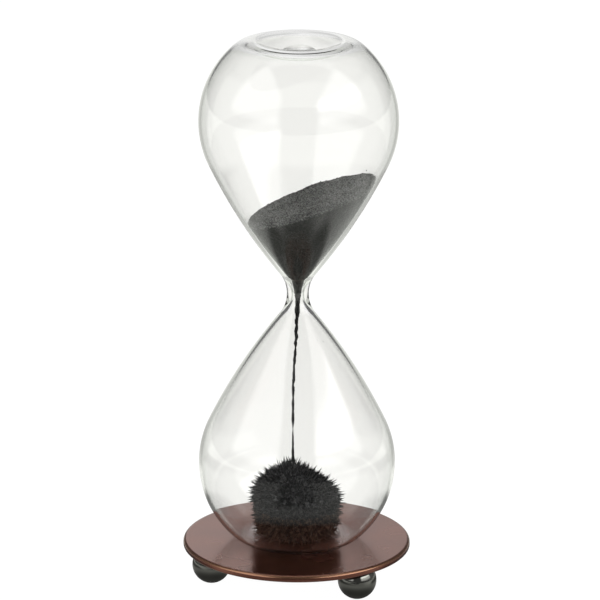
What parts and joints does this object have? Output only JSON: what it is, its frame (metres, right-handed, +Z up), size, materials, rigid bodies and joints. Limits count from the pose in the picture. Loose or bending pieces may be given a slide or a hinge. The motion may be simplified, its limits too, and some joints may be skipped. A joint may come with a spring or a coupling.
{
  "type": "magnetic hourglass",
  "caption": "Clear blown glass with a narrow neck, holding iron filings that fall onto a spiky magnetic pile, standing loose on a round copper-brown plate with ball feet.",
  "frame": {"origin": "point on the surface that the ball feet stand on, under the middle of the plate", "axes": "+Z up along the axis of the glass, -Y towards the viewer of the picture, +X to the viewer's right"},
  "size_m": [0.065, 0.065, 0.1576],
  "materials": {
    "clear_glass": "clear blown glass, smooth",
    "clear_seal": "clear cast drop, glossy",
    "iron_filings": "dark grey loose grains and needles",
    "copper_plate": "copper-brown lacquered metal, rim rubbed bright",
    "magnet_ferrite": "dark grey sintered disc",
    "clear_glue": "amber set glue",
    "black_nickel": "dark polished metal",
    "stud_steel": "plain steel"
  },
  "bodies": {
    "base": {"base_plate": "copper_plate", "magnet": "magnet_ferrite", "magnet_glue": "clear_glue", "ball_foot_1": "black_nickel", "ball_foot_2": "black_nickel", "ball_foot_3": "black_nickel", "foot_stud_1": "stud_steel", "foot_stud_2": "stud_steel", "foot_stud_3": "stud_steel"},
    "glass": {"glass_vessel": "clear_glass", "fill_seal": "clear_seal", "upper_filings": "iron_filings", "falling_stream": "iron_filings", "filings_pile": "iron_filings"}
  },
  "joints": [
    {"name": "glass_lift", "type": "slide", "parent": "base", "child": "glass", "axis": [0, 0, 1], "range_m": [0, 0.06]}
  ]
}
